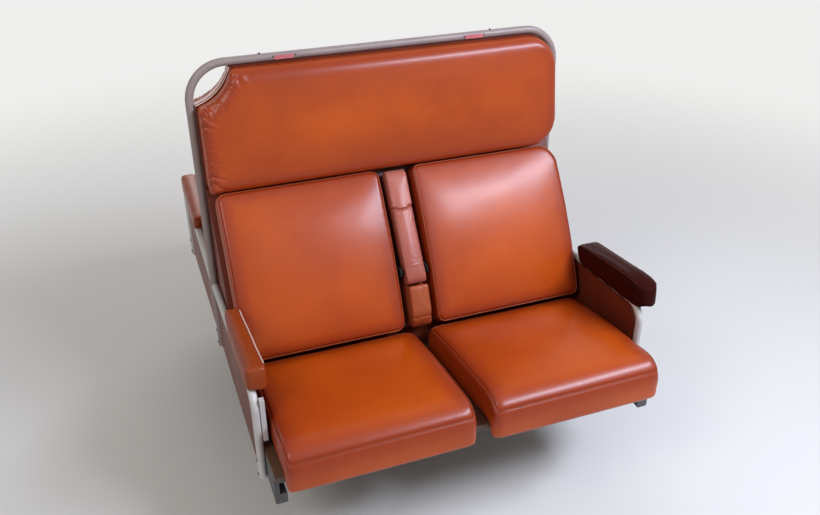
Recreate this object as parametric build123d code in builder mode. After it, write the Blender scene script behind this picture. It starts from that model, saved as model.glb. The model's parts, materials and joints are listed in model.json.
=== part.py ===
"""Back-to-back double bench seat of a railway coach.

One bent tube hoop stands across the middle. Each side of it carries a bench for two: a
headrest, two back cushions, two seat cushions, side armrests on tube rails and a centre
armrest that folds down out of its recess between the backs.

All sizes are in millimetres. X runs across the coach, with the aisle at -X and the window wall
at +X. The front bench faces -Y and the rear bench faces +Y. The floor is at Z = 0 and the origin
lies on it, under the middle of the hoop. A depth is a distance out from the hoop's plane.
"""

import os
from math import cos, hypot, radians, sin, tan

from build123d import *

os.makedirs("parts", exist_ok=True)

# Each bench and side has a sign for its direction along Y or X.
BENCHES = (("front", -1), ("rear", 1))
SIDES = (("aisle", -1), ("wall", 1))

seat_gap = 0.3  # clearance where one piece is laid against another

# Hoop
hoop_span = 1060  # between the legs' centre lines
hoop_top = 1140  # floor to the centre line of the top
hoop_foot = 268  # floor to the legs' lower ends
hoop_tube = 22
hoop_bend = 100  # centre line radius of the two bends
tube_chamfer = 3  # at the tubes' lower ends

# Underframe, of square tube
frame_tube = 30
frame_chamfer = 3  # along the square tubes' edges
side_member_reach = 690  # depth of its ends
plate = 6  # floor bars and wall plates
upright_width = 40
upright_depth = 26
upright_x = 330
floor_bar_width = 60
floor_bolt_depth = 310
floor_hole = 11
bar_end = 30  # from a bolt hole to its bar's end
bar_corner = 12

# Wall brackets
wall_gap = 60  # from the centre line of the hoop's leg to the coach wall
wall_bracket_depth = 430
wall_plate_width = 70
wall_plate_height = 110
wall_bolt_spacing = 60
wall_bolt_drop = 30  # from the bracket's top to the upper hole
wall_hole = 9

# Back carcass, of board
board = 10
core_board = 16  # between the two headrests
back_lean = 30  # degrees from upright
carcass_top = 800
carcass_top_half = 12
back_foot = 385  # height where a back panel turns straight down

# Headrests
headrest_low = 816
headrest_inset = 2  # pad edge inside the core board's edge
headrest_depth_top = 54
headrest_depth_low = 104
headrest_rim = 12  # chamfer round its front face
headrest_low_corner = 84  # radius of its lower corner at the wall
notch_height = 92  # hand-hold cut out of the upper aisle corner
notch_width = 96
notch_sag = 17

# Back cushions
back_inner = 47  # from the middle of the bench to a cushion
back_side_gap = 11  # from a cushion to the hoop's leg
back_length = 465  # along the slope
back_top_offset = 17.5  # from the carcass's top, along the slope
back_thick = 70  # at its ends
back_crown = 22  # added in the middle
back_edge = 16  # radius of its upper and lower front edges
back_corner = 26
back_top_corner = {"aisle": 28, "wall": 62}

# Seat cushions
seat_inner = 21
seat_side_gap = 19  # from a cushion to the hoop's leg
seat_angle = 8.5
seat_thick = 86
seat_crown = 14
seat_rear = 296
seat_front = 757
seat_nose = 60
seat_lip_foot = 350  # lower end of the part in front of the pan
seat_rim = 12  # chamfer along its upper edges
pan_board = 12
pan_front = 718
rib_board = 12
rib_rear = 310
rib_front = 690
beam = 25  # square tube under the pan's front

# Arm rails
rail_tube = 20
rail_height = 485  # centre line, at the hoop leg
rail_rise = 4  # degrees, going forward
rail_bend = 45
rail_clearance = 1  # from the rail's end to the hoop's leg
post_depth = 590
panel_board = 12

# Side arm pads, with their widths to each side of the rail's centre line and their rises from
# that line to the pad's top
pad_above = 4  # underside over the rail's centre line
pad_groove = 0.3  # clearance round the rail
pad_rear = 272  # depth of the rear end's upper edge, which slants with the back
pad_front = {"aisle": 578, "wall": 600}
pad_outward = {"aisle": 15, "wall": 56}
pad_inward_rear = {"aisle": 31, "wall": 29}
pad_inward_front = {"aisle": 41, "wall": 25}
pad_rise_rear = {"aisle": 69, "wall": 60}
pad_rise_front = {"aisle": 65, "wall": 78}
pad_nose = {"aisle": 14, "wall": 32}  # radius of the front corners
pad_rim = {"aisle": 4, "wall": 8}  # chamfer round the top

# Centre armrests
arm_width = 63
arm_thick = 50
arm_length = 290  # hinge to tip
arm_tail = 40  # hinge to the lower end
arm_lean = 35  # degrees from upright when folded up
arm_tip_round = 24
arm_tail_round = 20
hinge_along = 317  # down the back panel, from its top
hinge_out = 66.5  # out of the back panel's face
hinge_pin = 12
pin_clearance = 0.05
ear = 4
ear_gap = 5  # between the arm's side and an ear
ear_round = 13
ear_base = 46  # length of the bracket's base along the slope
ear_low = hinge_along + 5  # lower end of that base
stop_length = 30
stop_width = 40
stop_from_tip = 60  # along the slope, from the arm's tip to the stop's middle

# Fixed pad under a centre armrest, with its front face from top to bottom as distances in
# front of the hinge and below it
stub_width = 62
stub_clearance = 5.5  # round the armrest's lower end
stub_lip = 31  # degrees below the hinge where its upper lip ends
stub_face = ((46.9, 23.2), (74.4, 90.7), (78.4, 128.7), (72.4, 145.7))
stub_drop = 166.7  # from the hinge to its lower rear edge

# Small parts
label_length = 52
label_height = 11
label_thick = 1.5
label_corner = 2
label_x = (-275, 267)
guard_width = 12
guard_depth = 15
guard_above = 122  # from the hoop's foot to its lower tip
guard_length = 122

# Worked out from the sizes above
leg_x = hoop_span / 2
leg_inner = leg_x - hoop_tube / 2
wall_x = leg_x + wall_gap  # face of the coach wall
back_outer = leg_inner - back_side_gap
seat_outer = leg_inner - seat_side_gap
board_x = leg_inner - seat_gap
rail_x = leg_inner + seat_gap + rail_tube / 2
frame_top = hoop_foot + frame_tube
frame_mid = hoop_foot + frame_tube / 2
member_x = leg_inner - frame_tube / 2
lean_tan = tan(radians(back_lean))
lean_sin = sin(radians(back_lean))
lean_cos = cos(radians(back_lean))
board_across = board / lean_cos
back_foot_half = carcass_top_half + (carcass_top - back_foot) * lean_tan
seat_tan = tan(radians(seat_angle))
seat_cos = cos(radians(seat_angle))
pan_rear = back_foot_half + board + seat_gap
rail_tan = tan(radians(rail_rise))
rail_near = hoop_tube / 2 + rail_clearance
cross_depth = back_foot_half + board / 2
ear_inner = arm_width / 2 + ear_gap
arm_swing = hypot(arm_tail - arm_tail_round, arm_thick / 2 - arm_tail_round) + arm_tail_round


def pan_underside(depth):
    """Height of a seat pan's underside at a depth."""
    return frame_top + seat_gap + (depth - pan_rear) * seat_tan


def cushion_underside(depth):
    """Height of a seat cushion's underside at a depth."""
    return pan_underside(depth) + pan_board / seat_cos + seat_gap


def seat_surface(depth):
    """Height of a seat cushion's top at a depth, before its crown."""
    return cushion_underside(depth) + seat_thick / seat_cos


def rail_height_at(depth):
    """Height of an arm rail's centre line at a depth."""
    return rail_height + depth * rail_tan


def slope_plane(x, depth, height, lean):
    """Section plane across a leaning piece: local X runs down its slope and local Y out of it.

    It is for the front bench, and its normal points to the aisle."""
    return Plane(
        origin=(x, -depth, height),
        x_dir=(0, -sin(radians(lean)), -cos(radians(lean))),
        z_dir=(-1, 0, 0),
    )


def back_plane(x):
    """Section plane on a back panel's face, from its upper edge."""
    return slope_plane(x, carcass_top_half + board_across, carcass_top, back_lean)


# The front back panel's face, with local X across and local Y up its slope
panel_face = Plane(origin=back_plane(0).origin, x_dir=(1, 0, 0), z_dir=back_plane(0).y_dir)

hinge = back_plane(0).from_local_coords(Vector(hinge_along, hinge_out, 0))
hinge_depth = -hinge.Y
hinge_height = hinge.Z


def arm_plane(x):
    """Section plane on a folded centre armrest, from its hinge."""
    return slope_plane(x, hinge_depth, hinge_height, arm_lean)


def save(piece, name):
    """Labels a finished piece and writes its file."""
    piece.part.label = name
    export_step(piece.part, f"parts/{name}.step")


def place(bench, side="wall"):
    """Turns a piece made for the front bench's wall side into its mirrored place."""
    if bench == "rear":
        mirror(about=Plane.XZ, mode=Mode.REPLACE)
    if side == "aisle":
        mirror(about=Plane.YZ, mode=Mode.REPLACE)


# The hoop: one tube bent over both benches, with its legs welded to the underframe.
with BuildPart() as hoop:
    with BuildLine(Plane.XZ) as hoop_line:
        FilletPolyline(
            (-leg_x, hoop_foot),
            (-leg_x, hoop_top),
            (leg_x, hoop_top),
            (leg_x, hoop_foot),
            radius=hoop_bend,
        )
    with BuildSketch(Plane((-leg_x, 0, hoop_foot))):
        Circle(hoop_tube / 2)
    sweep()
    chamfer(hoop.edges().group_by(Axis.Z)[0], length=tube_chamfer)
save(hoop, "hoop_tube")

for side, x in zip(("aisle", "wall"), label_x):
    with BuildPart() as label:
        with Locations((x, -hoop_tube / 2 - seat_gap - label_thick / 2, hoop_top)):
            Box(label_length, label_thick, label_height)
        fillet(label.edges().filter_by(Axis.Y), radius=label_corner)
    save(label, f"label_plate_{side}")

# The underframe: two side members along the coach, three tubes across and four uprights.
for side, way in SIDES:
    with BuildPart() as member:
        with Locations((way * member_x, 0, frame_mid)):
            Box(frame_tube, 2 * side_member_reach, frame_tube)
        chamfer(member.edges().filter_by(Axis.Y), length=frame_chamfer)
    save(member, f"side_member_{side}")

for bench, turn in BENCHES:
    with BuildPart() as cross:
        with Locations((0, turn * cross_depth, frame_mid)):
            Box(2 * (member_x - frame_tube / 2), frame_tube, frame_tube)
        chamfer(cross.edges().filter_by(Axis.X), length=frame_chamfer)
    save(cross, f"cross_member_{bench}")

for side, way in SIDES:
    with BuildPart() as floor_bar:
        with Locations((way * upright_x, 0, plate / 2)):
            Box(floor_bar_width, 2 * (floor_bolt_depth + bar_end), plate)
        fillet(floor_bar.edges().filter_by(Axis.Z), radius=bar_corner)
        with Locations(
            (way * upright_x, floor_bolt_depth, plate),
            (way * upright_x, -floor_bolt_depth, plate),
        ):
            Hole(floor_hole / 2)
    save(floor_bar, f"floor_bar_{side}")

    for bench, turn in BENCHES:
        with BuildPart() as upright:
            with Locations((way * upright_x, turn * cross_depth, (hoop_foot + plate) / 2)):
                Box(upright_width, upright_depth, hoop_foot - plate)
            chamfer(upright.edges().filter_by(Axis.Z), length=frame_chamfer)
        save(upright, f"upright_{side}_{bench}")

# Two angle brackets fasten the wall side member to the coach wall.
for bench, turn in BENCHES:
    with BuildPart() as bracket:
        with BuildSketch(Plane.XZ.offset(wall_bracket_depth - wall_plate_width / 2)):
            with BuildLine():
                Polyline(
                    (leg_inner - frame_tube, hoop_foot),
                    (wall_x, hoop_foot),
                    (wall_x, hoop_foot - wall_plate_height),
                    (wall_x - plate, hoop_foot - wall_plate_height),
                    (wall_x - plate, hoop_foot - plate),
                    (leg_inner - frame_tube, hoop_foot - plate),
                    close=True,
                )
            make_face()
        extrude(amount=wall_plate_width)
        with Locations(Plane.YZ.offset(wall_x)):
            with Locations(
                (-wall_bracket_depth, hoop_foot - wall_bolt_drop),
                (-wall_bracket_depth, hoop_foot - wall_bolt_drop - wall_bolt_spacing),
            ):
                Hole(wall_hole / 2, depth=plate)
        place(bench)
    save(bracket, f"wall_bracket_{bench}")


def core_outline(low, inset, low_round):
    """Headrest outline in the hoop's plane, with the hand-hold in its aisle corner."""
    x = board_x - inset
    top = hoop_top - hoop_tube / 2 - seat_gap - inset
    bend = hoop_bend - hoop_tube / 2 - seat_gap - inset
    with BuildSketch(Plane.XZ) as outline:
        with BuildLine():
            Line((-x, low), (-x, top - notch_height))
            SagittaArc((-x, top - notch_height), (-x + notch_width, top), -notch_sag)
            Line((-x + notch_width, top), (x - bend, top))
            ThreePointArc(
                (x - bend, top),
                (x - bend + bend * cos(radians(45)), top - bend + bend * sin(radians(45))),
                (x, top - bend),
            )
            Line((x, top - bend), (x, low))
            Line((x, low), (-x, low))
        make_face()
        if low_round:
            fillet(outline.vertices().sort_by(Axis.Y)[:2].sort_by(Axis.X)[-1], low_round)
    return outline.sketch


# The core board fills the hoop between the two headrests.
with BuildPart() as core:
    extrude(core_outline(carcass_top + seat_gap, 0, 0), amount=core_board / 2, both=True)
save(core, "headrest_core")

for bench, turn in BENCHES:
    with BuildPart() as headrest:
        top = hoop_top - hoop_tube / 2 - seat_gap - headrest_inset
        with BuildSketch(Plane.YZ.offset(-board_x)):
            with BuildLine():
                Polyline(
                    (-core_board / 2 - seat_gap, headrest_low),
                    (-core_board / 2 - seat_gap, top),
                    (-headrest_depth_top, top),
                    (-headrest_depth_low, headrest_low),
                    close=True,
                )
            make_face()
        extrude(amount=2 * board_x)
        extrude(
            core_outline(headrest_low, headrest_inset, headrest_low_corner),
            amount=2 * headrest_depth_low,
            mode=Mode.INTERSECT,
        )
        front_face = headrest.faces().sort_by(Axis.Y)[0]
        chamfer(front_face.edges(), length=headrest_rim)
        place(bench)
    save(headrest, f"headrest_{bench}")

# The carcass behind the back cushions: two leaning panels over two end cheeks.
for bench, turn in BENCHES:
    with BuildPart() as panel:
        with BuildSketch(Plane.YZ.offset(-board_x)):
            with BuildLine():
                Polyline(
                    (-carcass_top_half, carcass_top),
                    (-carcass_top_half - board_across, carcass_top),
                    (-back_foot_half - board, back_foot + (board_across - board) / lean_tan),
                    (-back_foot_half - board, frame_top),
                    (-back_foot_half, frame_top),
                    (-back_foot_half, back_foot),
                    close=True,
                )
            make_face()
        extrude(amount=2 * board_x)
        place(bench)
    save(panel, f"back_panel_{bench}")

for side, way in SIDES:
    with BuildPart() as cheek:
        with BuildSketch(Plane.YZ.offset(board_x)):
            with BuildLine():
                Polyline(
                    (-carcass_top_half + seat_gap, carcass_top),
                    (carcass_top_half - seat_gap, carcass_top),
                    (back_foot_half - seat_gap, back_foot),
                    (back_foot_half - seat_gap, frame_top),
                    (-back_foot_half + seat_gap, frame_top),
                    (-back_foot_half + seat_gap, back_foot),
                    close=True,
                )
            make_face()
        extrude(amount=-board)
        place("front", side)
    save(cheek, f"back_cheek_{side}")

# The back cushions: a crowned face over a flat back, laid on the leaning panel.
for bench, turn in BENCHES:
    for side, way in SIDES:
        with BuildPart() as back_cushion:
            with BuildSketch(back_plane(back_outer)) as back_section:
                with BuildLine():
                    low = back_top_offset + back_length
                    Line((back_top_offset, seat_gap), (back_top_offset, back_thick))
                    ThreePointArc(
                        (back_top_offset, back_thick),
                        (back_top_offset + back_length / 2, back_thick + back_crown),
                        (low, back_thick),
                    )
                    Line((low, back_thick), (low, seat_gap))
                    Line((low, seat_gap), (back_top_offset, seat_gap))
                make_face()
                fillet(back_section.vertices().sort_by(Axis.Y)[-2:], radius=back_edge)
            extrude(amount=back_outer - back_inner)
            with BuildSketch(panel_face) as back_outline:
                with Locations((back_outer, -back_top_offset)):
                    Rectangle(back_outer - back_inner, back_length, align=(Align.MAX, Align.MAX))
                outer = back_outline.vertices().sort_by(Axis.X)[-2:]
                fillet(outer.sort_by(Axis.Y)[-1], radius=back_top_corner[side])
                others = back_outline.vertices().group_by(Axis.X)[0]
                fillet(others + outer.sort_by(Axis.Y)[:1], radius=back_corner)
            extrude(amount=back_thick + back_crown, mode=Mode.INTERSECT)
            place(bench, side)
        save(back_cushion, f"back_cushion_{side}_{bench}")

# The seats: a sloping pan on two ribs, with two cushions that turn down over its front edge.
for bench, turn in BENCHES:
    with BuildPart() as pan:
        with BuildSketch(Plane.YZ.offset(-board_x)):
            with BuildLine():
                Polyline(
                    (-pan_rear, pan_underside(pan_rear)),
                    (-pan_front, pan_underside(pan_front)),
                    (-pan_front, pan_underside(pan_front) + pan_board / seat_cos),
                    (-pan_rear, pan_underside(pan_rear) + pan_board / seat_cos),
                    close=True,
                )
            make_face()
        extrude(amount=2 * board_x)
        place(bench)
    save(pan, f"seat_pan_{bench}")

    with BuildPart() as pan_beam:
        with BuildSketch(Plane.YZ.offset(-leg_inner + rib_board + seat_gap)):
            with BuildLine():
                low = pan_underside(rib_front - beam) - seat_gap - beam
                Polyline(
                    (-rib_front, low),
                    (-rib_front, pan_underside(rib_front) - seat_gap),
                    (-rib_front + beam, pan_underside(rib_front - beam) - seat_gap),
                    (-rib_front + beam, low),
                    close=True,
                )
            make_face()
        extrude(amount=2 * (leg_inner - rib_board - seat_gap))
        place(bench)
    save(pan_beam, f"pan_beam_{bench}")

    for side, way in SIDES:
        with BuildPart() as rib:
            with BuildSketch(Plane.YZ.offset(leg_inner)):
                with BuildLine():
                    Polyline(
                        (-rib_rear, frame_top),
                        (-rib_front, frame_top),
                        (-rib_front, pan_underside(rib_front) - seat_gap),
                        (-rib_rear, pan_underside(rib_rear) - seat_gap),
                        close=True,
                    )
                make_face()
            extrude(amount=-rib_board)
            place(bench, side)
        save(rib, f"seat_rib_{side}_{bench}")

        with BuildPart() as seat_cushion:
            with BuildSketch(Plane.YZ.offset(seat_inner)) as seat_section:
                with BuildLine():
                    middle = (seat_rear + seat_front) / 2
                    pan_tip = pan_front + 2 * seat_gap
                    Line(
                        (-seat_rear, cushion_underside(seat_rear)),
                        (-seat_rear, seat_surface(seat_rear)),
                    )
                    ThreePointArc(
                        (-seat_rear, seat_surface(seat_rear)),
                        (-middle, seat_surface(middle) + seat_crown),
                        (-seat_front, seat_surface(seat_front)),
                    )
                    Polyline(
                        (-seat_front, seat_surface(seat_front)),
                        (-seat_front, seat_lip_foot),
                        (-pan_tip, seat_lip_foot),
                        (-pan_tip, cushion_underside(pan_tip)),
                        (-seat_rear, cushion_underside(seat_rear)),
                    )
                make_face()
            extrude(amount=seat_outer - seat_inner)
            upper = seat_cushion.edges().filter_by(Axis.X).sort_by(Axis.Z)
            nose = upper.group_by(Axis.Y)[0].sort_by(Axis.Z)[-1]
            heel = upper.group_by(Axis.Y)[-1].sort_by(Axis.Z)[-1]
            fillet(nose, radius=seat_nose)
            chamfer(heel, length=seat_rim)
            top_faces = [face for face in seat_cushion.faces()
                         if face.normal_at(face.center()).Z > 0.3]
            rims = [edge for face in top_faces for edge in face.edges()
                    if abs(edge.tangent_at(0.5).X) < 0.01]
            chamfer(rims, length=seat_rim)
            place(bench, side)
        save(seat_cushion, f"seat_cushion_{side}_{bench}")

# The arm rails: a tube from the hoop's leg over to a post, with a board filling the frame below.
rail_start = Plane(
    origin=(rail_x, -rail_near, rail_height_at(rail_near)),
    x_dir=(1, 0, 0),
    z_dir=(0, -1, rail_tan),
)
for bench, turn in BENCHES:
    for side, way in SIDES:
        with BuildPart() as rail:
            with BuildLine(Plane.YZ.offset(rail_x)):
                FilletPolyline(
                    (-rail_near, rail_height_at(rail_near)),
                    (-post_depth, rail_height_at(post_depth)),
                    (-post_depth, hoop_foot),
                    radius=rail_bend,
                )
            with BuildSketch(rail_start):
                Circle(rail_tube / 2)
            sweep()
            chamfer(rail.edges().group_by(Axis.Z)[0], length=tube_chamfer)
            place(bench, side)
        save(rail, f"arm_rail_{side}_{bench}")

        with BuildPart() as side_panel:
            with BuildSketch(Plane.YZ.offset(leg_inner + seat_gap)):
                with BuildLine():
                    near = hoop_tube / 2 + seat_gap
                    far = post_depth - rail_tube / 2 - seat_gap
                    under = rail_tube / 2 / cos(radians(rail_rise)) + seat_gap
                    Polyline(
                        (-near, hoop_foot),
                        (-near, rail_height_at(near) - under),
                        (-post_depth + rail_bend, rail_height_at(post_depth - rail_bend) - under),
                        (-far, rail_height_at(post_depth) - under - rail_bend),
                        (-far, hoop_foot),
                        close=True,
                    )
                make_face()
            extrude(amount=panel_board)
            place(bench, side)
        save(side_panel, f"side_panel_{side}_{bench}")

        rear_top = rail_height_at(pad_rear) + pad_rise_rear[side]
        front_top = rail_height_at(pad_front[side]) + pad_rise_front[side]
        slant = (pad_rise_rear[side] - pad_above) * lean_tan
        with BuildPart() as pad:
            with BuildSketch(Plane(
                origin=(0, -pad_rear, rear_top),
                x_dir=(1, 0, 0),
                z_dir=(0, front_top - rear_top, pad_front[side] - pad_rear),
            )) as pad_plan:
                along = hypot(pad_front[side] - pad_rear, front_top - rear_top)
                with BuildLine():
                    Polyline(
                        (rail_x - pad_inward_rear[side], 0),
                        (rail_x + pad_outward[side], 0),
                        (rail_x + pad_outward[side], -along),
                        (rail_x - pad_inward_front[side], -along),
                        close=True,
                    )
                make_face()
                corners = pad_plan.vertices().group_by(Axis.Y)[0]
                width = pad_outward[side] + pad_inward_front[side]
                fillet(corners, radius=min(pad_nose[side], 0.48 * width))
            extrude(amount=-2 * pad_rise_front[side])
            chamfer(pad.faces().sort_by(Axis.Z)[-1].edges(), length=pad_rim[side])
            with BuildSketch(Plane.YZ.offset(hoop_span)):
                with BuildLine():
                    Polyline(
                        (-pad_rear, rear_top),
                        (-pad_rear - slant, rail_height_at(pad_rear + slant) + pad_above),
                        (-hoop_span, rail_height_at(hoop_span) + pad_above),
                        (-hoop_span, hoop_span),
                        (-pad_rear, hoop_span),
                        close=True,
                    )
                make_face()
            extrude(amount=-hoop_span, mode=Mode.INTERSECT)
            with BuildSketch(rail_start):
                Circle(rail_tube / 2 + pad_groove)
            extrude(amount=hoop_span, mode=Mode.SUBTRACT)
            place(bench, side)
        save(pad, f"arm_pad_{side}_{bench}")

# A short guard bar on the seat's side of each aisle post, with a slanted lower end.
for bench, turn in BENCHES:
    with BuildPart() as guard:
        with BuildSketch(Plane.YZ.offset(leg_inner)):
            with BuildLine():
                low = hoop_foot + guard_above
                Polyline(
                    (-post_depth - guard_depth / 2, low),
                    (-post_depth - guard_depth / 2, low + guard_length),
                    (-post_depth + guard_depth / 2, low + guard_length),
                    (-post_depth + guard_depth / 2, low + guard_depth),
                    close=True,
                )
            make_face()
        extrude(amount=-guard_width)
        place(bench, "aisle")
    save(guard, f"post_guard_{bench}")

# The centre armrests, folded up between the back cushions, and what carries each of them.
for bench, turn in BENCHES:
    with BuildPart() as arm:
        with BuildSketch(arm_plane(arm_width / 2)) as arm_section:
            with Locations(((arm_tail - arm_length) / 2, 0)):
                Rectangle(arm_length + arm_tail, arm_thick)
            fillet(arm_section.vertices().sort_by(Axis.X)[:2], radius=arm_tip_round)
            fillet(arm_section.vertices().sort_by(Axis.X)[-2:], radius=arm_tail_round)
        extrude(amount=arm_width)
        with Locations(Plane(origin=hinge, z_dir=(1, 0, 0))):
            Cylinder(hinge_pin / 2 + pin_clearance, 2 * arm_width, mode=Mode.SUBTRACT)
        place(bench)
    save(arm, f"centre_arm_{bench}")

    with BuildPart() as bracket:
        with BuildSketch(back_plane(ear_inner + ear)):
            with Locations((ear_low - ear_base / 2, seat_gap + ear / 2)):
                Rectangle(ear_base, ear)
        extrude(amount=2 * (ear_inner + ear))
        for x in (ear_inner + ear, -ear_inner):
            with BuildSketch(back_plane(x)):
                with BuildLine():
                    Polyline(
                        (ear_low - ear_base, seat_gap),
                        (hinge_along - ear_round, hinge_out),
                        (hinge_along + ear_round, hinge_out),
                        (ear_low, seat_gap),
                        close=True,
                    )
                make_face()
                with Locations((hinge_along, hinge_out)):
                    Circle(ear_round)
            extrude(amount=ear)
        with BuildSketch(back_plane(ear_inner + ear)):
            with Locations((hinge_along, hinge_out)):
                Circle(hinge_pin / 2)
        extrude(amount=2 * (ear_inner + ear))
        place(bench)
    save(bracket, f"arm_hinge_{bench}")

    with BuildPart() as stop:
        tip = arm_plane(0).from_local_coords(Vector(stop_from_tip - arm_length, -arm_thick / 2, 0))
        tip = back_plane(0).to_local_coords(tip)
        with BuildSketch(back_plane(stop_width / 2)):
            with BuildLine():
                near = arm_lean - back_lean
                Polyline(
                    (tip.X - stop_length / 2, seat_gap),
                    (tip.X - stop_length / 2,
                     tip.Y - seat_gap - stop_length / 2 * tan(radians(near))),
                    (tip.X + stop_length / 2,
                     tip.Y - seat_gap + stop_length / 2 * tan(radians(near))),
                    (tip.X + stop_length / 2, seat_gap),
                    close=True,
                )
            make_face()
        extrude(amount=stop_width)
        place(bench)
    save(stop, f"arm_stop_{bench}")

    with BuildPart() as stub:
        clear = arm_swing + stub_clearance
        top = hinge_height - clear
        foot = hinge_height - stub_drop
        rise = carcass_top_half + board_across + seat_gap / lean_cos
        top_rear = (-rise - (carcass_top - top) * lean_tan, top)
        middle = radians(stub_lip / 2 + 45)
        lip = radians(stub_lip)
        front = [(-hinge_depth - ahead, hinge_height - below) for ahead, below in stub_face]
        with BuildSketch(Plane.YZ.offset(-stub_width / 2)):
            with BuildLine():
                arc = ThreePointArc(
                    (-hinge_depth, top),
                    (-hinge_depth - clear * cos(middle), hinge_height - clear * sin(middle)),
                    (-hinge_depth - clear * cos(lip), hinge_height - clear * sin(lip)),
                )
                Polyline(
                    arc @ 1,
                    *front,
                    (-rise - (carcass_top - foot) * lean_tan, foot),
                    top_rear,
                    arc @ 0,
                )
            make_face()
        extrude(amount=stub_width)
        place(bench)
    save(stub, f"arm_stub_{bench}")
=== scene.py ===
# %% [markdown]
# # A railway coach bench seat for four
#
# Two benches stand back to back and share one bent tube hoop. The covers are leathercloth over
# foam, the frame is painted tube, and a padded armrest folds down in the middle of each bench.
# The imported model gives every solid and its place. This script gives the foam its swell, the
# covers their seams and grain, the paint its wear, and adds the screws, welts and trims.
# Everything could be drawn by hand, but a script gives the same seat each time, and a changed
# measure is followed by all that depends on it.

# %% The frame and the measures that the script works in
import json
import math

import bmesh
import bpy
import numpy as np
from mathutils import Matrix, Vector, noise
from mathutils.bvhtree import BVHTree


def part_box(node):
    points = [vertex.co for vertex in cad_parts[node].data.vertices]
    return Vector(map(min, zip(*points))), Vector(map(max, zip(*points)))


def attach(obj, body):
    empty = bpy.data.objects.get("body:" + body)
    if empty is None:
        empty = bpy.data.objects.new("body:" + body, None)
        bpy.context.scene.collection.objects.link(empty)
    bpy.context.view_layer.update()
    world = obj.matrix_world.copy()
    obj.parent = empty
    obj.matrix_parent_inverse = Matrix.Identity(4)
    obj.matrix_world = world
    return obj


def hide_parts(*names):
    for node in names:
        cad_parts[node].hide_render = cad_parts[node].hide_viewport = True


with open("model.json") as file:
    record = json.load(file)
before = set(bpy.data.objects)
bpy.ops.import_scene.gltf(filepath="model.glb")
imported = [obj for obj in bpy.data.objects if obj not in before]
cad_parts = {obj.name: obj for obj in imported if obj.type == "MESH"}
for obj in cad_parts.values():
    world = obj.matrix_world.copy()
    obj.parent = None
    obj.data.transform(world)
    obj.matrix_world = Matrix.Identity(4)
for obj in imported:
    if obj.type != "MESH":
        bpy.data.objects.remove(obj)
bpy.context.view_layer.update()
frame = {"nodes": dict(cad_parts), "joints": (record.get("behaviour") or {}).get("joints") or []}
nodes = frame["nodes"]
scene = bpy.context.scene
mm = 0.001

print("pieces from the packed model:", len(nodes))

# %% [markdown]
# ## Directions
#
# The front bench faces -Y. Each soft piece swells mostly along one direction, the way that its
# sitter's side faces, so those directions get names here. The rear bench is the front one
# mirrored in the hoop's plane, so most pieces are made for the front and then turned over.

# %% Directions of the front bench
back_lean = math.radians(30)
arm_lean = math.radians(35)
back_out = Vector((0, -math.cos(back_lean), math.sin(back_lean)))
back_down = Vector((0, -math.sin(back_lean), -math.cos(back_lean)))
arm_out = Vector((0, -math.cos(arm_lean), math.sin(arm_lean)))
arm_down = Vector((0, -math.sin(arm_lean), -math.cos(arm_lean)))
head_out = Vector((0, -0.988, 0.155))
head_down = Vector((0, -0.155, -0.988))
seat_up = Vector((0, 0.148, 0.989))
seat_forward = Vector((0, -0.989, 0.148))
forward = Vector((0, -1, 0))
across = Vector((1, 0, 0))
up = Vector((0, 0, 1))

hinge = Vector(frame["joints"][0]["pos_m"])
print("the front armrest turns about", [round(value, 4) for value in hinge])

# %% [markdown]
# ## Small tools for meshes
#
# A piece ends as one plain mesh at the origin, with its place in its points. These helpers make
# an object, apply its modifiers, read and move its points, and turn a front piece into its twin
# on the rear bench. Points could be moved one by one. Arrays move all of them at once, which is
# far quicker on cushions with tens of thousands of points.


# %% Mesh helpers
def new_piece(name, mesh, material=None):
    """Puts a mesh in the scene as an object at the origin."""
    piece = bpy.data.objects.new(name, mesh)
    scene.collection.objects.link(piece)
    if material:
        mesh.materials.clear()
        mesh.materials.append(material)
    return piece


def apply_modifiers(piece):
    """Replaces a piece's mesh by what its modifiers make of it."""
    graph = bpy.context.evaluated_depsgraph_get()
    mesh = bpy.data.meshes.new_from_object(piece.evaluated_get(graph))
    piece.modifiers.clear()
    old = piece.data
    piece.data = mesh
    mesh.name = piece.name
    if old.users == 0:
        bpy.data.meshes.remove(old)
    return piece


def points_of(mesh):
    """A mesh's points as an array with one row each."""
    points = np.empty(len(mesh.vertices) * 3, np.float64)
    mesh.vertices.foreach_get("co", points)
    return points.reshape(-1, 3)


def normals_of(mesh):
    """The directions in which a mesh's points face."""
    normals = np.empty(len(mesh.vertices) * 3, np.float64)
    mesh.vertices.foreach_get("normal", normals)
    return normals.reshape(-1, 3)


def set_points(mesh, points):
    """Moves a mesh's points."""
    mesh.vertices.foreach_set("co", points.astype(np.float32).ravel())
    mesh.update()


def mirrored(piece, name):
    """A copy of a piece, turned over into its place on the rear bench."""
    mesh = piece.data.copy()
    mesh.transform(Matrix.Scale(-1, 4, (0, 1, 0)))
    mesh.flip_normals()
    return new_piece(name, mesh)


def evened(mesh, values, rounds):
    """Values at a mesh's points, drawn a number of times towards their neighbours' mean."""
    ends = np.empty(len(mesh.edges) * 2, np.int64)
    mesh.edges.foreach_get("vertices", ends)
    one, other = ends[0::2], ends[1::2]
    total = len(mesh.vertices)
    neighbours = np.bincount(ends, minlength=total)
    for _ in range(rounds):
        around = [np.bincount(one, column[other], total) + np.bincount(other, column[one], total)
                  for column in values.T]
        values = 0.5 * values + 0.5 * np.stack(around, axis=1) / neighbours[:, None]
    return values


def closeness(distance, reach):
    """1 at no distance, falling smoothly to 0 at the reach."""
    t = np.clip(1 - np.asarray(distance) / reach, 0, 1)
    return t * t * (3 - 2 * t)


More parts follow.
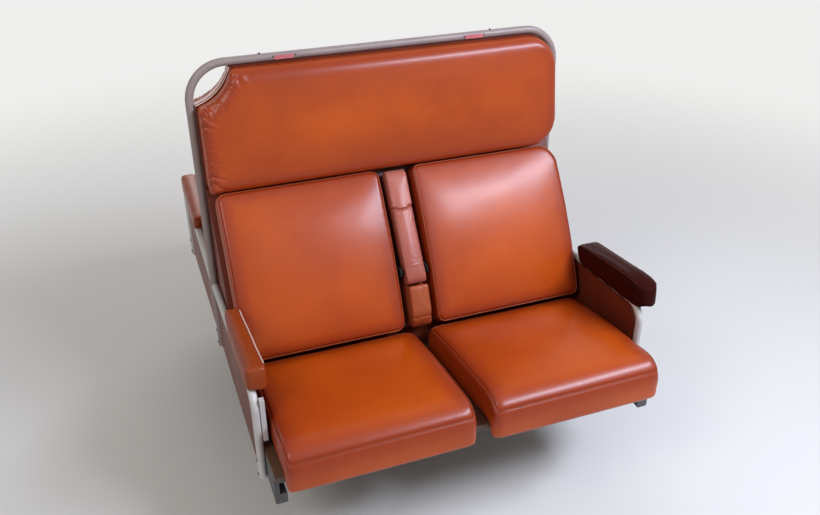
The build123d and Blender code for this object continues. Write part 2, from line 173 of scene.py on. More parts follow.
# %% [markdown]
# ## Shared effects for the finishes
#
# Leathercloth has a printed grain of small cells with fine creases between them, and the same
# grain runs over every cushion. An image could give it, but procedural textures need no
# unwrapping and have no seams of their own. A shader node group holds the grain once. A second
# group mottles a colour, and a third one finds the worn places on paint. Each has named inputs,
# so that every finish sets its own strength.


# %% Shader group helpers
FLOAT = "NodeSocketFloat"
COLOUR = "NodeSocketColor"


def shader_group(name, inputs, outputs):
    """An empty shader node group, with the sockets that come in and those that go out."""
    group = bpy.data.node_groups.new(name, "ShaderNodeTree")
    for label, kind, value in inputs:
        socket = group.interface.new_socket(label, in_out="INPUT", socket_type=kind)
        socket.default_value = value
    for label, kind in outputs:
        group.interface.new_socket(label, in_out="OUTPUT", socket_type=kind)
    entry = group.nodes.new("NodeGroupInput")
    leave = group.nodes.new("NodeGroupOutput")
    return group, entry.outputs, leave.inputs


def feed(tree, socket, value):
    """Gives an input a plain value, or a link from another node's output."""
    if isinstance(value, bpy.types.NodeSocket):
        tree.links.new(value, socket)
    else:
        socket.default_value = value


def node(tree, kind, *values, **settings):
    """A new node. Settings are its properties or named inputs, values its first inputs."""
    made = tree.nodes.new(kind)
    for key, value in settings.items():
        if key in made.bl_rna.properties:
            setattr(made, key, value)
        else:
            feed(tree, made.inputs[key.replace("_", " ")], value)
    for socket, value in zip(made.inputs, values):
        feed(tree, socket, value)
    return made


def maths(tree, operation, first, second):
    """The result of a math node on two sockets or numbers."""
    return node(tree, "ShaderNodeMath", first, second, operation=operation).outputs[0]


def mixed(tree, amount, first, second, way="MIX"):
    """A colour mixed from two by an amount."""
    made = node(tree, "ShaderNodeMix", data_type="RGBA", blend_type=way)
    for slot, value in ((0, amount), (6, first), (7, second)):
        feed(tree, made.inputs[slot], value)
    return made.outputs[2]


# %% The grain of leathercloth
grain, entry, leave = shader_group(
    "leathercloth_grain",
    (("Cells per metre", FLOAT, 850.0), ("Crease depth", FLOAT, 0.6), ("Pull", FLOAT, 0.5)),
    (("Height", FLOAT), ("Crease", FLOAT)),
)
place = node(grain, "ShaderNodeTexCoord").outputs["Object"]
bend = node(grain, "ShaderNodeTexNoise", Vector=place, Scale=120.0, Detail=3.0)
shift = node(grain, "ShaderNodeVectorMath", bend.outputs["Color"], operation="SCALE", Scale=0.0016)
moved = node(grain, "ShaderNodeVectorMath", place, shift.outputs["Vector"], operation="ADD")
cells = node(grain, "ShaderNodeTexVoronoi", feature="DISTANCE_TO_EDGE",
             Vector=moved.outputs["Vector"], Scale=entry["Cells per metre"])
ramp = node(grain, "ShaderNodeMapRange", Value=cells.outputs["Distance"], From_Max=0.16)
soft = node(grain, "ShaderNodeTexNoise", Vector=place, Scale=45.0, Detail=5.0, Roughness=0.6)
creased = maths(grain, "MULTIPLY", ramp.outputs["Result"], entry["Crease depth"])
pulled = maths(grain, "MULTIPLY", soft.outputs["Fac"], entry["Pull"])
feed(grain, leave["Height"], maths(grain, "ADD", creased, pulled))
feed(grain, leave["Crease"], maths(grain, "SUBTRACT", 1.0, ramp.outputs["Result"]))

# %% Mottling of a colour
mottle, entry, leave = shader_group(
    "mottled_tone",
    (("Main", COLOUR, (0.5, 0.5, 0.5, 1)), ("Darker", COLOUR, (0.4, 0.4, 0.4, 1)),
     ("Patches per metre", FLOAT, 6.0), ("Speckle", FLOAT, 0.15)),
    (("Color", COLOUR), ("Patch", FLOAT)),
)
place = node(mottle, "ShaderNodeTexCoord").outputs["Object"]
patches = node(mottle, "ShaderNodeTexNoise", Vector=place, Scale=entry["Patches per metre"],
               Detail=4.0, Roughness=0.55)
specks = node(mottle, "ShaderNodeTexNoise", Vector=place, Scale=420.0, Detail=2.0)
spread = node(mottle, "ShaderNodeMapRange", Value=patches.outputs["Fac"], From_Min=0.36,
              From_Max=0.64)
speckled = maths(mottle, "MULTIPLY", specks.outputs["Fac"], entry["Speckle"])
amount = maths(mottle, "ADD", spread.outputs["Result"], speckled)
feed(mottle, leave["Color"], mixed(mottle, amount, entry["Main"], entry["Darker"]))
feed(mottle, leave["Patch"], amount)

# %% Worn and scratched places
worn, entry, leave = shader_group(
    "worn_places",
    (("Scratches per metre", FLOAT, 35.0), ("Amount", FLOAT, 0.4)),
    (("Mask", FLOAT), ("Height", FLOAT)),
)
place = node(worn, "ShaderNodeTexCoord").outputs["Object"]
streak = node(worn, "ShaderNodeMapping", Vector=place, Scale=(1.0, 1.0, 0.25))
scratch = node(worn, "ShaderNodeTexNoise", Vector=streak.outputs["Vector"],
               Scale=entry["Scratches per metre"], Detail=6.0, Roughness=0.7)
bent = node(worn, "ShaderNodeNewGeometry").outputs["Pointiness"]
edge = node(worn, "ShaderNodeMapRange", Value=bent, From_Min=0.5, From_Max=0.6)
spot = node(worn, "ShaderNodeMapRange", Value=scratch.outputs["Fac"], From_Min=0.62, From_Max=0.72)
on_edge = maths(worn, "MULTIPLY", edge.outputs["Result"], scratch.outputs["Fac"])
rubbed = maths(worn, "MAXIMUM", spot.outputs["Result"], on_edge)
feed(worn, leave["Mask"], maths(worn, "MULTIPLY", rubbed, entry["Amount"]))
feed(worn, leave["Height"], scratch.outputs["Fac"])
print("shared effects:", [group.name for group in bpy.data.node_groups])


# %% [markdown]
# ## The finishes
#
# The covers are coated cloth: a coloured film with a broad, soft shine. Its colour is a deep
# orange brown, and shade is painted into it: a darker red beside the seams, where the cover dips
# into the seam's groove, and a fainter darkening towards the rims, where the light falls off. A
# painted map could darken those places. Here each soft piece stores how near its points are to a
# seam, and the material reads that value as an attribute, so the painted shade follows a seam
# wherever it runs. The hoop has a warm grey paint, the arm rails a lighter one, and the
# underframe a dark one.


# %% Finish helpers
def new_finish(name, roughness, metallic=0.0, specular=0.5):
    """A material with its tree and its main shader's inputs."""
    material = bpy.data.materials.new(name)
    material.use_nodes = True
    surface = material.node_tree.nodes["Principled BSDF"].inputs
    surface["Roughness"].default_value = roughness
    surface["Metallic"].default_value = metallic
    surface["Specular IOR Level"].default_value = specular
    return material, material.node_tree, surface


def tone_of(tree, main, darker, patches, speckle):
    """The mottled tone of a finish, from its main colour and a darker one."""
    return node(tree, "ShaderNodeGroup", node_tree=mottle, Main=(*main, 1), Darker=(*darker, 1),
                Patches_per_metre=patches, Speckle=speckle).outputs


def dress(tree, surface, colour, height, strength, depth):
    """Gives a finish its colour and its relief."""
    bump = node(tree, "ShaderNodeBump", Strength=strength, Distance=depth, Height=height)
    feed(tree, surface["Base Color"], colour)
    feed(tree, surface["Normal"], bump.outputs["Normal"])


def vary_gloss(tree, surface, mask, low, high):
    """Lets a finish's roughness run from low to high with a mask."""
    gloss = node(tree, "ShaderNodeMapRange", Value=mask, To_Min=low, To_Max=high)
    feed(tree, surface["Roughness"], gloss.outputs["Result"])


def darkened(colour, share):
    """A colour times a share."""
    return [share * value for value in colour]


def leathercloth(name, main, darker, seam, roughness=0.37, shine=0.12, coat=0.25):
    """Coated cloth: a mottled colour with painted shade at seams, a printed grain and a soft shine.
    """
    material, tree, surface = new_finish(name, roughness, specular=shine)
    tone = tone_of(tree, main, darker, patches=2.8, speckle=0.12)
    marks = node(tree, "ShaderNodeGroup", node_tree=grain, Cells_per_metre=850.0, Pull=0.4).outputs
    # Shade is painted near seams and rims: the stored nearness mixes in the darker seam colour.
    painted_shade_amount = node(tree, "ShaderNodeAttribute", attribute_name="painted_shade")
    seam_shaded = mixed(tree, painted_shade_amount.outputs["Fac"], tone["Color"], (*seam, 1))
    # The grain's creases are painted darker too, as the shade that falls in them.
    depth = maths(tree, "MULTIPLY", marks["Crease"], 0.3)
    creased = mixed(tree, depth, seam_shaded, (0.66, 0.56, 0.5, 1), "MULTIPLY")
    dress(tree, surface, creased, marks["Height"], 0.5, 0.0002)
    vary_gloss(tree, surface, tone["Patch"], roughness - 0.05, roughness + 0.08)
    surface["Coat Weight"].default_value = coat
    surface["Coat Roughness"].default_value = 0.26
    return material


def paint(name, main, bare, roughness, wear):
    """Paint on steel tube, rubbed through in places."""
    material, tree, surface = new_finish(name, roughness)
    tone = tone_of(tree, main, darkened(main, 0.86), patches=14.0, speckle=0.3)
    rubbed = node(tree, "ShaderNodeGroup", node_tree=worn, Scratches_per_metre=60.0,
                  Amount=wear).outputs
    colour = mixed(tree, rubbed["Mask"], tone["Color"], (*bare, 1))
    dress(tree, surface, colour, rubbed["Height"], 0.25, 0.0002)
    vary_gloss(tree, surface, rubbed["Mask"], roughness, roughness + 0.25)
    return material


def plywood(name, light, dark):
    """Varnished board with a long grain across the coach."""
    material, tree, surface = new_finish(name, 0.45)
    place = node(tree, "ShaderNodeTexCoord").outputs["Object"]
    stretch = node(tree, "ShaderNodeMapping", Vector=place, Scale=(3.0, 40.0, 40.0))
    fibre = node(tree, "ShaderNodeTexNoise", Vector=stretch.outputs["Vector"], Scale=3.0,
                 Detail=8.0, Roughness=0.65).outputs["Fac"]
    dress(tree, surface, mixed(tree, fibre, (*light, 1), (*dark, 1)), fibre, 0.3, 0.0003)
    return material


def plain(name, colour, roughness, metallic=0.0, bumps=300.0, depth=0.0001):
    """Rubber, moulded plastic, thread or bare metal, with a faint mottle and a fine texture."""
    material, tree, surface = new_finish(name, roughness, metallic)
    tone = tone_of(tree, colour, darkened(colour, 0.8), patches=30.0, speckle=0.2)
    place = node(tree, "ShaderNodeTexCoord").outputs["Object"]
    fine = node(tree, "ShaderNodeTexNoise", Vector=place, Scale=bumps, Detail=3.0)
    dress(tree, surface, tone["Color"], fine.outputs["Fac"], 0.3, depth)
    return material


# %% Every finish on the seat
# The first colour here is the red of the shade painted beside the seams and towards the rims.
painted_shade_red = (0.25, 0.026, 0.005)
cover = leathercloth("red_brown_cover", (0.51, 0.080, 0.002), (0.39, 0.051, 0.002), painted_shade_red,
                     coat=0.45)
head_cover = leathercloth("headrest_cover", (0.54, 0.087, 0.004), (0.37, 0.053, 0.002), painted_shade_red,
                          coat=0.45)
arm_cover = leathercloth("centre_arm_cover", (0.48, 0.155, 0.115), (0.40, 0.120, 0.085),
                         (0.27, 0.050, 0.028), roughness=0.36)
block_cover = leathercloth("arm_block_cover", (0.37, 0.085, 0.030), (0.30, 0.062, 0.020),
                           (0.25, 0.036, 0.008))
aisle_arm_cover = leathercloth("aisle_arm_cover", (0.32, 0.052, 0.007), (0.25, 0.039, 0.005),
                               (0.19, 0.022, 0.005), roughness=0.36)
# The wall pads' cover is painted near black, as the shade beside the wall.
wall_arm_cover = leathercloth("wall_arm_cover", (0.036, 0.003, 0.002), (0.026, 0.003, 0.002),
                              (0.012, 0.002, 0.001), roughness=0.32, shine=0.02, coat=0.06)
board_cover = leathercloth("board_cover", (0.16, 0.028, 0.012), (0.12, 0.021, 0.010),
                           (0.10, 0.016, 0.008), roughness=0.42)
welt_cover = leathercloth("welt_cover", (0.36, 0.066, 0.020), (0.28, 0.048, 0.014), painted_shade_red,
                          roughness=0.38)
pale_welt = leathercloth("pale_welt", (0.76, 0.56, 0.50), (0.66, 0.46, 0.40),
                         (0.60, 0.40, 0.34), roughness=0.40)
hoop_paint = paint("hoop_paint", (0.285, 0.225, 0.21), (0.19, 0.15, 0.135), roughness=0.42,
                   wear=0.28)
rail_paint = paint("rail_paint", (0.54, 0.52, 0.50), (0.38, 0.35, 0.33), roughness=0.38,
                   wear=0.22)
frame_paint = paint("underframe_paint", (0.060, 0.062, 0.066), (0.14, 0.13, 0.12), roughness=0.5,
                    wear=0.5)
# Black paint on the hinges, made near black as painted shade of the dark gap round the armrest's
# foot.
hinge_black = plain("hinge_black", (0.006, 0.005, 0.005), roughness=0.95)
board = plywood("varnished_board", (0.125, 0.068, 0.036), (0.065, 0.034, 0.018))
rubber = plain("stop_rubber", (0.025, 0.025, 0.026), roughness=0.75)
label_red = plain("label_plate_red", (0.60, 0.16, 0.17), roughness=0.35)
dark_screw = plain("dark_screw", (0.10, 0.09, 0.085), roughness=0.45, metallic=0.8)
thread = plain("seam_thread", (0.30, 0.060, 0.022), roughness=0.7, bumps=2000.0)
weld_grey = plain("weld_bead", (0.085, 0.083, 0.082), roughness=0.5, bumps=900.0, depth=0.0003)
print("finishes:", len(bpy.data.materials))

# %% [markdown]
# ## Finishes on the hard parts
#
# The tubes, boards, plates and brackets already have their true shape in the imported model, so
# they only take a finish. Each node's name says what it is, and the start of the name picks
# its finish from a short list.

# %% Hard parts take their finishes
hard_finishes = (
    (hoop_paint, ("hoop_tube",)),
    (rail_paint, ("arm_rail", "post_guard")),
    (frame_paint, ("side_member", "cross_member", "pan_beam", "floor_bar", "upright",
                   "wall_bracket", "seat_rib")),
    (hinge_black, ("arm_hinge",)),
    (board, ("seat_pan",)),
    (board_cover, ("headrest_core", "back_panel", "back_cheek", "side_panel")),
    (rubber, ("arm_stop",)),
    (label_red, ("label_plate",)),
)
finished = 0
for name, piece in nodes.items():
    for finish, starts in hard_finishes:
        if name.startswith(starts):
            for slot in piece.material_slots:
                slot.material = finish
            finished += 1
print("hard parts with a finish:", finished)

# %% [markdown]
# ## How a cushion gets its swell
#
# A foam cushion in a sewn cover is a crowned form: full in the middle, pulled in at its seams.
# It could be a box with bevelled edges, but such a box stays flat in the middle, and light shows
# that at once. Cloth simulation gives the crown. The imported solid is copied, its surface is
# remade with even faces, it is shrunk a little, and air swells it for twenty frames. The cloth's
# fine rumples aren't wanted on a tight cover, so the movement is evened out over the surface
# before it is used. The crown is full on the face that a sitter leans on and nothing at the
# back, which lies flat on its board. Evening the points rounds the rims as foam does, and the
# piece is then stretched back to the width, length and depth of its solid, so that it still
# fills its place. Where a pad has a rounder end, its face is rolled back towards that end.


# %% A cover's surface, and air inside it
def joined_shell(source):
    """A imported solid's surface for editing, with the corners that its faces share joined."""
    shell = bmesh.new()
    shell.from_mesh(nodes[source].data)
    bmesh.ops.remove_doubles(shell, verts=shell.verts, dist=0.00001)
    return shell


def even_copy(name, source, voxel):
    """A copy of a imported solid's surface, remade with even faces of about the voxel's size."""
    shell = joined_shell(source)
    mesh = bpy.data.meshes.new(name)
    shell.to_mesh(mesh)
    shell.free()
    piece = new_piece(name, mesh)
    remesh = piece.modifiers.new("even", "REMESH")
    remesh.mode = "VOXEL"
    remesh.voxel_size = voxel
    return apply_modifiers(piece)


def blow_up(piece, pressure=4.0, stiffness=15.0, frames=20):
    """Where a piece's points go when its cover is blown up for a number of frames."""
    cloth = piece.modifiers.new("cover", "CLOTH")
    cloth.settings.quality = 5
    cloth.settings.mass = 0.3
    cloth.settings.tension_stiffness = stiffness
    cloth.settings.compression_stiffness = stiffness
    cloth.settings.shear_stiffness = stiffness / 3
    cloth.settings.bending_stiffness = 0.5
    cloth.settings.use_pressure = True
    cloth.settings.uniform_pressure_force = pressure
    cloth.settings.effector_weights.gravity = 0
    cloth.point_cache.frame_start = 1
    cloth.point_cache.frame_end = frames
    for moment in range(1, frames + 1):
        scene.frame_set(moment)
    graph = bpy.context.evaluated_depsgraph_get()
    blown = points_of(piece.evaluated_get(graph).data)
    piece.modifiers.clear()
    scene.frame_set(1)
    return blown


def fit_between(points, axis, low, high):
    """Points stretched along an axis so that they fill the stretch from low to high."""
    place = points @ axis
    wanted = low + (place - place.min()) * (high - low) / (place.max() - place.min())
    return points + (wanted - place)[:, None] * axis


# %% The swell
shrink = 0.5 * mm  # how far a cover is drawn in before air goes into it
calming = 12  # rounds that take the small rumples out of the cover's movement
snug = 1 * mm  # how far a cushion's sides stay inside its solid's


def swell(name, source, out, down, crown, rounding=8, voxel=7 * mm, side=3 * mm, longer=0.0):
    """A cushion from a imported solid, crowned along out and rounded at its rims."""
    piece = even_copy(name, source, voxel)
    mesh = piece.data
    solid = points_of(mesh)
    start = solid - normals_of(mesh) * shrink
    set_points(mesh, start)
    out, down = np.array(out), np.array(down)
    height = solid @ out
    height = (height - height.min()) / (height.max() - height.min())
    blown = blow_up(piece)
    moved = evened(mesh, blown - start, calming)
    lift = moved @ out
    slide = moved - lift[:, None] * out
    lift *= crown / np.percentile(lift, 99) * height * height * (3 - 2 * height)
    slide *= side / np.percentile(np.linalg.norm(slide, axis=1), 99)
    settled = evened(mesh, start + lift[:, None] * out + slide, rounding)
    for axis, beyond in ((np.array(across), -snug), (down, longer - snug), (out, snug)):
        ends = solid @ axis
        settled = fit_between(settled, axis, ends.min() + snug, ends.max() + beyond)
    set_points(mesh, settled)
    finer = piece.modifiers.new("finer", "SUBSURF")
    finer.levels = 1
    finer.render_levels = 1
    apply_modifiers(piece)
    piece.data.shade_smooth()
    print(name, "crowned by", round(float(lift.max()) * 1000, 1), "mm,",
          len(piece.data.polygons), "faces")
    return piece


# %% A face that rolls back towards an edge
def roll_back(piece, out, towards, reach, depth):
    """Rounds a face off towards one of its ends, as foam does under a tight cover."""
    mesh = piece.data
    points = points_of(mesh)
    out, towards = np.array(out), np.array(towards)
    facing = np.clip(normals_of(mesh) @ out, 0, 1)
    place = points @ towards
    near_end = np.clip(1 - (place.max() - place) / reach, 0, 1)
    set_points(mesh, points - (depth * near_end ** 2 * facing)[:, None] * out)


# %% [markdown]
# ## Seams
#
# A cover is sewn from a face and a side band. Where they meet there is a seam, and on these
# seats a thin welt of the same cloth lies in it. Bump alone could draw a seam, but its outline
# would stay smooth, and the welt needs a groove to lie in. So the seam's line is drawn in the
# cushion's plane and dropped onto the swollen surface with rays. The surface is pulled in along
# the line, and its points keep how near they are to it, for the shade that the finish paints
# there. That painted shade is strong close to the seam, in its groove, and faint further in, where
# it stands for the light falling off towards the rims. The faint part is so soft that every sixth
# or eighth point of the line is enough for it, and that saves most of its time.


# %% Lines dropped onto a surface
def rounded_frame(centre, right, down, half_right, half_down, corners, step=9 * mm):
    """Points round a rectangle with four corner radii, upper left first and clockwise."""
    points = []
    signs = ((-1, -1), (1, -1), (1, 1), (-1, 1))
    for turn, ((sx, sy), radius) in enumerate(zip(signs, corners)):
        begin = math.radians(180 + 90 * turn)
        pieces = max(3, int(radius * math.pi / 2 / step * 2))
        for count in range(pieces + 1):
            angle = begin + math.pi / 2 * count / pieces
            x = sx * (half_right - radius) + radius * math.cos(angle)
            y = sy * (half_down - radius) + radius * math.sin(angle)
            points.append(centre + right * x + down * y)
    return even_line(points, step, closed=True)


def even_line(points, step, closed=False):
    """Points at even steps along a line's runs."""
    runs = zip(points, points[1:] + points[:1] if closed else points[1:])
    even = []
    for start, end in runs:
        pieces = max(1, round((end - start).length / step))
        even += [start.lerp(end, count / pieces) for count in range(pieces)]
    return even if closed else even + [points[-1]]


def drop_on(piece, points, direction, reach):
    """The points, moved along a direction, from a reach behind them, until they lie on a piece."""
    mesh = piece.data
    tree = BVHTree.FromPolygons([v.co for v in mesh.vertices],
                                [p.vertices for p in mesh.polygons])
    landed = []
    for point in points:
        hit = tree.ray_cast(point - direction * reach, direction)[0]
        landed.append(hit or tree.find_nearest(point)[0])
    return landed


def measure_from(points, line, reach, closed=True):
    """Each point's distance from a line, up to a reach, and how far along the line it is."""
    track = np.array(line)
    run = np.roll(track, -1, axis=0) - track
    if not closed:
        track, run = track[:-1], run[:-1]
    length = np.maximum(np.linalg.norm(run, axis=1), 1e-9)
    passed = np.cumsum(length) - length
    gap = np.full(len(points), float(reach))
    place = np.zeros(len(points))
    near = np.all((points > track.min(0) - 2 * reach) & (points < track.max(0) + 2 * reach), axis=1)
    near = near.nonzero()[0]
    for start, way, size, begin in zip(track, run / length[:, None], length, passed):
        off = points[near] - start
        t = np.clip(off @ way, 0, size)
        away = np.linalg.norm(off - t[:, None] * way, axis=1)
        better = away < gap[near]
        gap[near[better]] = away[better]
        place[near[better]] = begin + t[better]
    return gap, place


def pull_in(piece, line, depth, reach, closed=True):
    """Pulls a surface in along a line, to a depth, as a seam does."""
    mesh = piece.data
    points = points_of(mesh)
    gap = measure_from(points, line, reach, closed)[0]
    points -= normals_of(mesh) * (depth * closeness(gap, reach))[:, None]
    set_points(mesh, points)


def paint_shade_beside(piece, line, reach, strength=1.0, closed=True):
    """Stores how near a piece's points are to a seam or other line, as painted shade for its
    finish.
    """
    mesh = piece.data
    gap = measure_from(points_of(mesh), line, reach, closed)[0]
    shade = (strength * closeness(gap, reach)).astype(np.float32)
    values = mesh.attributes.get("painted_shade")
    if values is None:
        values = mesh.attributes.new("painted_shade", "FLOAT", "POINT")
    else:
        before = np.empty(len(shade), np.float32)
        values.data.foreach_get("value", before)
        shade = np.maximum(shade, before)
    values.data.foreach_set("value", shade)


# %% [markdown]
# ## Folds
#
# Where cloth is gathered into a seam it stands in small folds that die out a few centimetres
# away. A finer simulation could find folds by itself, but not at the places where this cover
# has them. So they are a wave along the seam that leans over with the distance from it. Loose
# cloth on the armrests is softer: noise, drawn out along one direction.


# %% Gathers and wrinkles
def gather(piece, line, depth, reach, pitch, lean):
    """Folds that start at a seam and fade away from it, leaning by an amount per distance."""
    mesh = piece.data
    points = points_of(mesh)
    gap, place = measure_from(points, line, reach, closed=False)
    wander = 0.35 * np.sin(place * 61) + 0.25 * np.sin(place * 143 + 1.3)
    wave = np.abs(np.sin(math.pi * ((place + lean * gap) / pitch + wander)))
    strong = 0.6 + 0.4 * np.sin(place * 37 + 0.7)
    fold = depth * strong * (wave - 0.55) * closeness(gap, reach)
    set_points(mesh, points + normals_of(mesh) * fold[:, None])


def wrinkle(piece, depth, mask, stretch, size):
    """Fine folds on a surface: noise drawn out along one direction, where the mask is."""
    mesh = piece.data
    points = points_of(mesh)
    facing = normals_of(mesh)
    weight = mask(points)
    scaled = points / size * np.array(stretch)
    for index in (weight > 0.01).nonzero()[0]:
        value = noise.noise(Vector(scaled[index])) + 0.5 * noise.noise(Vector(scaled[index] * 2.3))
        points[index] += facing[index] * ((abs(value) - 0.25) * depth * weight[index])
    set_points(mesh, points)


# %% [markdown]
# ## What follows a path, and what repeats
#
# Welts, edgings, weld beads, stitches and screws follow a path or repeat. Each could be placed
# on its own, but there are hundreds. Geometry Nodes make them: one tree sweeps a round or flat
# section along paths, one sets stitches along them, and one puts a slotted screw head on each
# point. Each tree has named sizes, so that one tree serves every piece, and its result becomes a
# plain mesh for each body.


# %% Node trees for paths and points
INT = "NodeSocketInt"
MATERIAL = "NodeSocketMaterial"


def node_tree(name, inputs):
    """A Geometry Nodes tree, with the sockets that come in and those that go out."""
    tree = bpy.data.node_groups.new(name, "GeometryNodeTree")
    tree.is_modifier = True
    tree.interface.new_socket("Paths", in_out="INPUT", socket_type="NodeSocketGeometry")
    tree.interface.new_socket("Result", in_out="OUTPUT", socket_type="NodeSocketGeometry")
    for label, kind, value in inputs:
        socket = tree.interface.new_socket(label, in_out="INPUT", socket_type=kind)
        if value is not None:
            socket.default_value = value
    entry, leave = tree.nodes.new("NodeGroupInput"), tree.nodes.new("NodeGroupOutput")
    return tree, entry.outputs, leave.inputs


def end_tree(tree, entry, leave, geometry):
    """The last steps of every tree: smooth shading, real points, one material."""
    smooth = node(tree, "GeometryNodeSetShadeSmooth", Geometry=geometry)
    real = node(tree, "GeometryNodeRealizeInstances", Geometry=smooth.outputs["Geometry"])
    finish = node(tree, "GeometryNodeSetMaterial", Geometry=real.outputs["Geometry"],
                  Material=entry["Material"])
    feed(tree, leave["Result"], finish.outputs["Geometry"])


def joined_vector(tree, *parts):
    """A vector from three sockets or numbers."""
    return node(tree, "ShaderNodeCombineXYZ", *parts).outputs[0]


# %% A section swept along paths
sweep_tree, entry, leave = node_tree(
    "sweep_along_paths",
    (("Wide", FLOAT, 0.0015), ("Thick", FLOAT, 0.0015), ("Uneven", FLOAT, 0.0),
     ("Sides", INT, 8), ("Material", MATERIAL, None)),
)
curve = node(sweep_tree, "GeometryNodeMeshToCurve", Mesh=entry["Paths"])
ring = node(sweep_tree, "GeometryNodeCurvePrimitiveCircle", Radius=1.0, Resolution=entry["Sides"])
section = joined_vector(sweep_tree, entry["Wide"], entry["Thick"], 1.0)
shaped = node(sweep_tree, "GeometryNodeTransform", Geometry=ring.outputs["Curve"], Scale=section)
swept = node(sweep_tree, "GeometryNodeCurveToMesh", Curve=curve.outputs["Curve"],
             Profile_Curve=shaped.outputs["Geometry"], Fill_Caps=True)
ripple = node(sweep_tree, "ShaderNodeTexNoise", Scale=350.0, Detail=1.0)
centred = node(sweep_tree, "ShaderNodeVectorMath", ripple.outputs["Color"], (0.5, 0.5, 0.5),
               operation="SUBTRACT")
sized = node(sweep_tree, "ShaderNodeVectorMath", centred.outputs[0], operation="SCALE",
             Scale=entry["Uneven"])
rough = node(sweep_tree, "GeometryNodeSetPosition", Geometry=swept.outputs["Mesh"],
             Offset=sized.outputs[0])
end_tree(sweep_tree, entry, leave, rough.outputs["Geometry"])

# %% Stitches along paths
stitch_tree, entry, leave = node_tree(
    "stitches_along_paths",
    (("Pitch", FLOAT, 0.0055), ("Length", FLOAT, 0.0019), ("Thick", FLOAT, 0.0004),
     ("Material", MATERIAL, None)),
)
curve = node(stitch_tree, "GeometryNodeMeshToCurve", Mesh=entry["Paths"])
spaced = node(stitch_tree, "GeometryNodeCurveToPoints", mode="LENGTH",
              Curve=curve.outputs["Curve"], Length=entry["Pitch"])
stitch = node(stitch_tree, "GeometryNodeMeshUVSphere", Segments=6, Rings=4, Radius=1.0)
long_way = joined_vector(stitch_tree, entry["Thick"], entry["Thick"], entry["Length"])
sewn = node(stitch_tree, "GeometryNodeInstanceOnPoints", Points=spaced.outputs["Points"],
            Rotation=spaced.outputs["Rotation"], Instance=stitch.outputs["Mesh"], Scale=long_way)
end_tree(stitch_tree, entry, leave, sewn.outputs["Instances"])

# %% Screw heads on points
screw_tree, entry, leave = node_tree(
    "screws_on_points",
    (("Radius", FLOAT, 0.003), ("Height", FLOAT, 0.5), ("Slot", FLOAT, 0.3),
     ("Material", MATERIAL, None)),
)
dome = node(screw_tree, "GeometryNodeMeshUVSphere", Segments=16, Rings=8, Radius=1.0)
spot = node(screw_tree, "GeometryNodeInputPosition").outputs[0]
axes = node(screw_tree, "ShaderNodeSeparateXYZ", spot).outputs
on_line = maths(screw_tree, "LESS_THAN", maths(screw_tree, "ABSOLUTE", axes["X"], 0.0), 0.1)
on_top = maths(screw_tree, "GREATER_THAN", axes["Z"], 0.3)
slot_depth = maths(screw_tree, "MULTIPLY", maths(screw_tree, "MULTIPLY", on_line, on_top),
                   maths(screw_tree, "MULTIPLY", entry["Slot"], -1.0))
cut = node(screw_tree, "GeometryNodeSetPosition", Geometry=dome.outputs["Mesh"],
           Offset=joined_vector(screw_tree, 0.0, 0.0, slot_depth))
facing = node(screw_tree, "GeometryNodeInputNamedAttribute", data_type="FLOAT_VECTOR",
              Name="facing")
turned = node(screw_tree, "FunctionNodeAlignRotationToVector", axis="Z",
              Vector=facing.outputs["Attribute"])
domed = maths(screw_tree, "MULTIPLY", entry["Radius"], entry["Height"])
seated = node(screw_tree, "GeometryNodeInstanceOnPoints", Points=entry["Paths"],
              Instance=cut.outputs["Geometry"], Rotation=turned.outputs["Rotation"],
              Scale=joined_vector(screw_tree, entry["Radius"], entry["Radius"], domed))
end_tree(screw_tree, entry, leave, seated.outputs["Instances"])


# %% From a tree to a plain piece
def grow(name, tree, material, points, edges=(), facing=None, slot="leathercloth", body="bench",
         **sizes):
    """What a tree makes of points or paths, as a plain mesh that rides on a body."""
    mesh = bpy.data.meshes.new(name)
    mesh.from_pydata([tuple(point) for point in points], list(edges), [])
    if facing is not None:
        stored = mesh.attributes.new("facing", "FLOAT_VECTOR", "POINT")
        stored.data.foreach_set("vector", np.array(facing, np.float32).ravel())
    piece = new_piece(name, mesh)
    modifier = piece.modifiers.new("grow", "NODES")
    modifier.node_group = tree
    sizes["Material"] = material
    for item in tree.interface.items_tree:
        if item.in_out == "INPUT" and item.name in sizes:
            modifier[item.identifier] = sizes[item.name]
    apply_modifiers(piece)
    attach(piece, body)
    print(name, len(piece.data.polygons), "faces")
    return piece


def paths_of(*lines):
    """Points and edges of several (line, closed) pairs, for grow."""
    points, edges = [], []
    for line, closed in lines:
        first, count = len(points), len(line)
        points += line
        edges += [(first + i, first + (i + 1) % count) for i in range(count - (not closed))]
    return points, edges


def grow_along(name, tree, material, lines, **rest):
    """What a tree makes along several (line, closed) pairs."""
    points, edges = paths_of(*lines)
    return grow(name, tree, material, points, edges, **rest)


def on_both(lines):
    """Lines of the front bench with their twins on the rear one."""
    return list(lines) + [([Vector((p.x, -p.y, p.z)) for p in line], closed)
                          for line, closed in lines]


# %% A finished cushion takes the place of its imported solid
def hand_over(piece, source, cover_material, body):
    """A finished cushion takes its cover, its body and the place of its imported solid."""
    piece.data.materials.clear()
    piece.data.materials.append(cover_material)
    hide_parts(source)
    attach(piece, body)


def on_both_benches(piece, name, source, cover_material, bodies=("bench", "bench")):
    """A front piece and its twin take the places of the front and rear solids."""
    twin = mirrored(piece, f"{name}_rear")
    hand_over(piece, f"{source}_front", cover_material, bodies[0])
    hand_over(twin, f"{source}_rear", cover_material, bodies[1])


